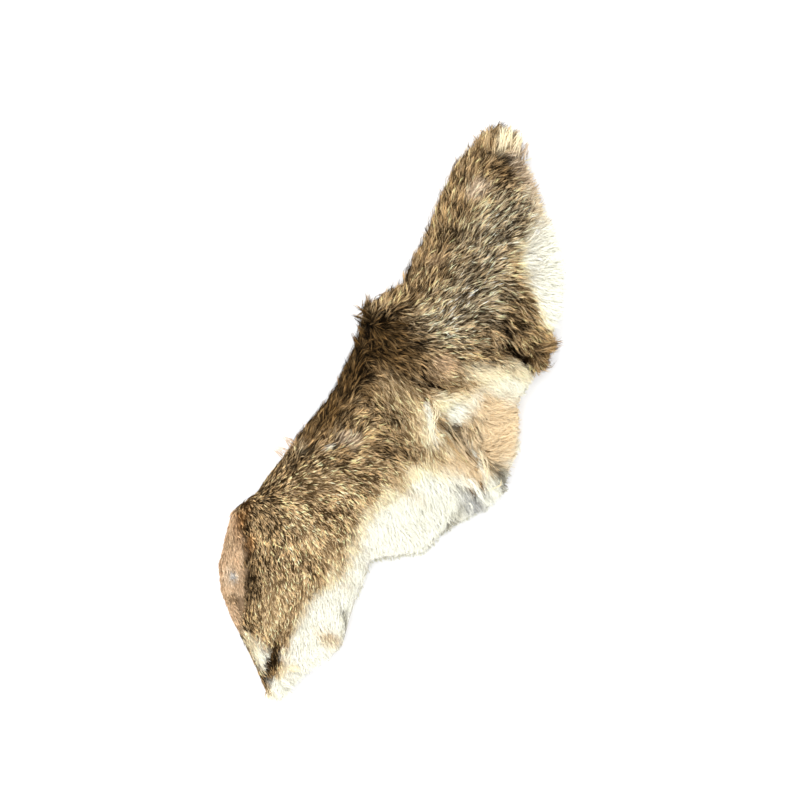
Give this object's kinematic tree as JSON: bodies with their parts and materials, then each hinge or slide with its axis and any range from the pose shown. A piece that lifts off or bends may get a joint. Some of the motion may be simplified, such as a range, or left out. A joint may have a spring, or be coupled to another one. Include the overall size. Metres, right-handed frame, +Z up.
{
  "type": "folded rabbit pelt",
  "caption": "Tanned rabbit pelt with brown agouti back fur and white belly fur, folded lengthwise along its back and laid on its side with the fur outside.",
  "frame": {"origin": "centre of the outline on the surface that the pelt lies on, at z = 0", "axes": "+Y from the head end to the rump, +X from the folded back to the belly edges, +Z up from the surface"},
  "size_m": [0.1712, 0.4228, 0.0395],
  "materials": {
    "rabbit_fur": "matt dense fur, banded brown and grey on the back, cream to white on the belly, on pale tanned hide"
  },
  "bodies": {
    "root": {"pelt": "rabbit_fur"}
  },
  "joints": []
}
